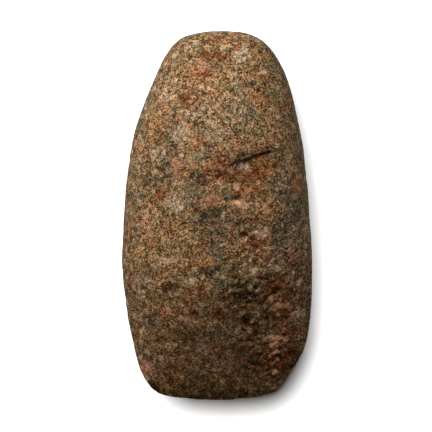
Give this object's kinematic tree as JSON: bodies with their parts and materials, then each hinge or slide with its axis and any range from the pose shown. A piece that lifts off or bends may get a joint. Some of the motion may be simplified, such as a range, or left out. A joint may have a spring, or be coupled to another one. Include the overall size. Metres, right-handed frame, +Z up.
{
  "type": "polished stone axe",
  "caption": "Pecked and ground stone axe head with convex faces, rounded sides and poll, and a broad blunt cutting edge, lying on one face.",
  "frame": {"origin": "bottom centre of the head's box, on the surface that it lies on", "axes": "+Y from the cutting edge to the poll, +X across the blade, +Z up through the thickness"},
  "size_m": [0.072, 0.14, 0.042],
  "materials": {
    "ground_stone": "pecked and ground, coarse-grained crystalline rock, smooth but not shiny"
  },
  "bodies": {
    "root": {"axe_head": "ground_stone"}
  },
  "joints": []
}
